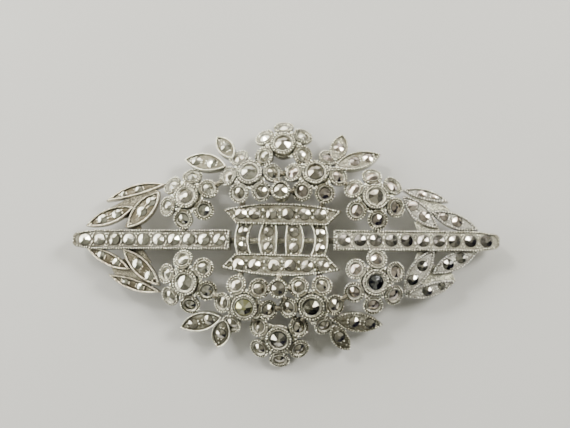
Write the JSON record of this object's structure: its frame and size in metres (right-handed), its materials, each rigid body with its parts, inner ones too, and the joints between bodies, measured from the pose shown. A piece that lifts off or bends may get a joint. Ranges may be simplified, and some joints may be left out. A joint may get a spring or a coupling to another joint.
{
  "type": "floral marcasite and silver bar brooch",
  "caption": "Openwork silver bar brooch with flowers and pointed leaves round a small basket, set with faceted marcasites, with a straight pin and hook catch on its back.",
  "frame": {"origin": "middle of the underside of the whole brooch, on the surface that it lies on", "axes": "+X along the bars, to the picture's right; +Y across them, to the picture's top; +Z out of the front of the brooch"},
  "size_m": [0.0616, 0.0362, 0.0062],
  "materials": {
    "cast_silver": "frosty cast silver with bright rims and grey tarnish in the recesses",
    "pin_silver": "drawn silver wire, satin",
    "small_marcasite": "polished facets with a grey metallic lustre",
    "centre_marcasite": "polished facets with a warm grey metallic lustre"
  },
  "bodies": {
    "root": {"silver_frame": "cast_silver", "pin_stem": "pin_silver", "single_stones": "small_marcasite", "stave_stones": "small_marcasite", "upper_rim_stones": "small_marcasite", "lower_rim_stones": "small_marcasite", "left_bar_stones": "small_marcasite", "right_bar_stones": "small_marcasite", "centre_stone_top": "centre_marcasite", "centre_stone_bottom": "centre_marcasite", "centre_stone_inner_upper_left": "centre_marcasite", "centre_stone_inner_upper_right": "centre_marcasite", "centre_stone_inner_lower_left": "centre_marcasite", "centre_stone_inner_lower_right": "centre_marcasite", "centre_stone_outer_upper_left": "centre_marcasite", "centre_stone_outer_upper_right": "centre_marcasite", "centre_stone_outer_lower_left": "centre_marcasite", "centre_stone_outer_lower_right": "centre_marcasite", "petal_stones_top": "small_marcasite", "petal_stones_bottom": "small_marcasite", "petal_stones_inner_upper_left": "small_marcasite", "petal_stones_inner_upper_right": "small_marcasite", "petal_stones_inner_lower_left": "small_marcasite", "petal_stones_inner_lower_right": "small_marcasite", "petal_stones_outer_upper_left": "small_marcasite", "petal_stones_outer_upper_right": "small_marcasite", "petal_stones_outer_lower_left": "small_marcasite", "petal_stones_outer_lower_right": "small_marcasite", "flower_leaf_stones_upper_left": "small_marcasite", "flower_leaf_stones_upper_right": "small_marcasite", "flower_leaf_stones_lower_left": "small_marcasite", "flower_leaf_stones_lower_right": "small_marcasite", "end_leaf_stones_upper_left": "small_marcasite", "end_leaf_stones_upper_right": "small_marcasite", "end_leaf_stones_lower_left": "small_marcasite", "end_leaf_stones_lower_right": "small_marcasite"}
  },
  "joints": []
}
